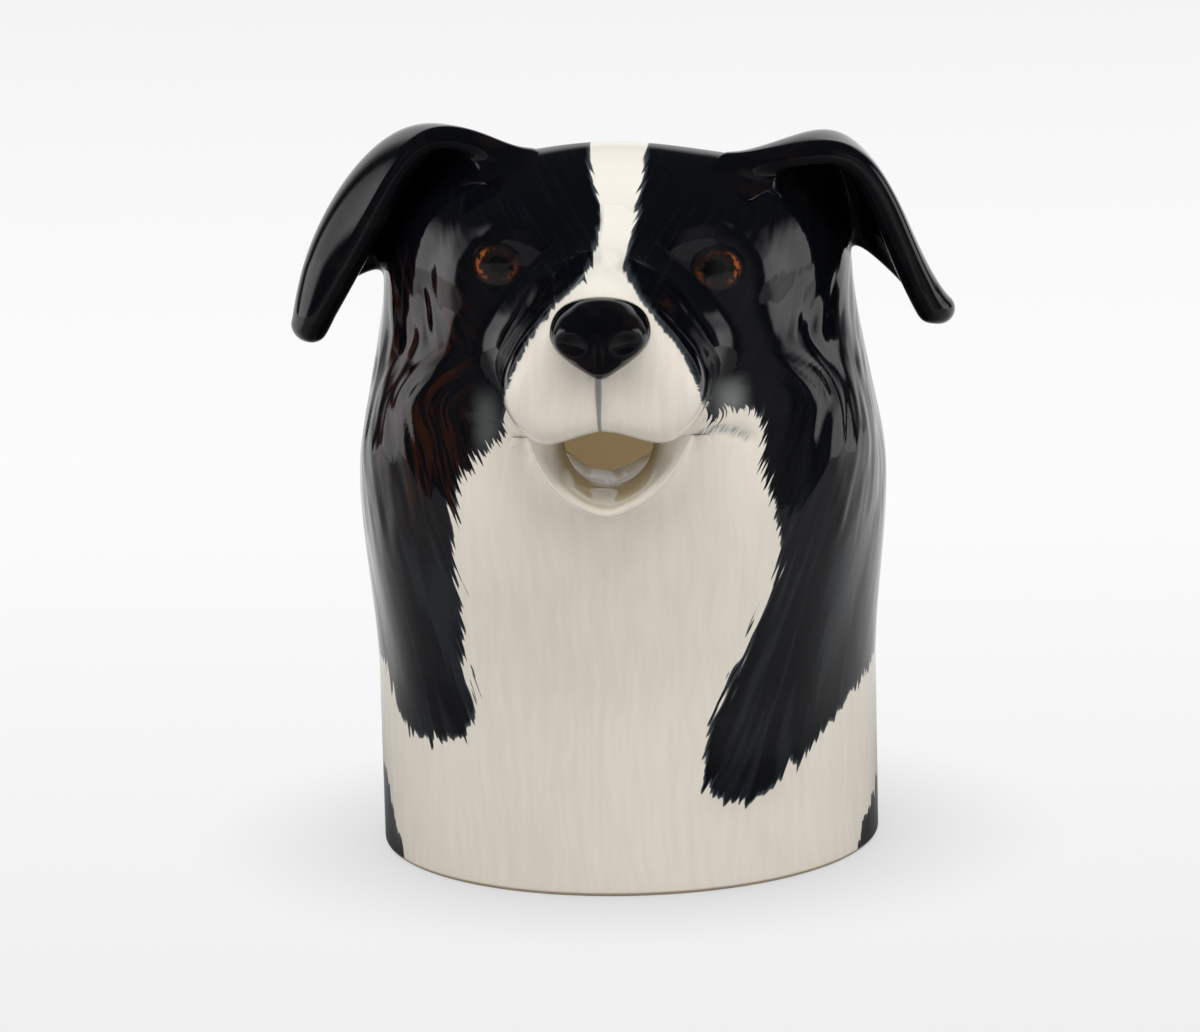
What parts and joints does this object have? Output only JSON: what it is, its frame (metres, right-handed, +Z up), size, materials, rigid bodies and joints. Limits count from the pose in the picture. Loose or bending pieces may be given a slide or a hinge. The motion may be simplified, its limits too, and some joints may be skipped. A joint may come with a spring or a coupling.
{
  "type": "face jug",
  "caption": "Glazed earthenware jug shaped as a collie's head and chest: it fills through the open crown, pours through the open mouth and is held by a loop handle at the back.",
  "frame": {"origin": "middle of the flat underside, on the surface that the jug stands on", "axes": "+Z up along the jug's axis, the face and the pouring lip look along -Y, the handle is at +Y and the dog's left ear at +X"},
  "size_m": [0.1447, 0.181, 0.1626],
  "materials": {
    "coat_glaze": "gloss, cream with painted black coat",
    "cream_glaze": "gloss",
    "black_glaze": "gloss",
    "iris_glaze": "gloss"
  },
  "bodies": {
    "root": {"body_shell": "coat_glaze", "base_slab": "cream_glaze", "muzzle": "cream_glaze", "lower_lip": "cream_glaze", "nose": "black_glaze", "left_eye": "iris_glaze", "right_eye": "iris_glaze", "left_ear": "black_glaze", "right_ear": "black_glaze", "handle": "black_glaze"}
  },
  "joints": []
}
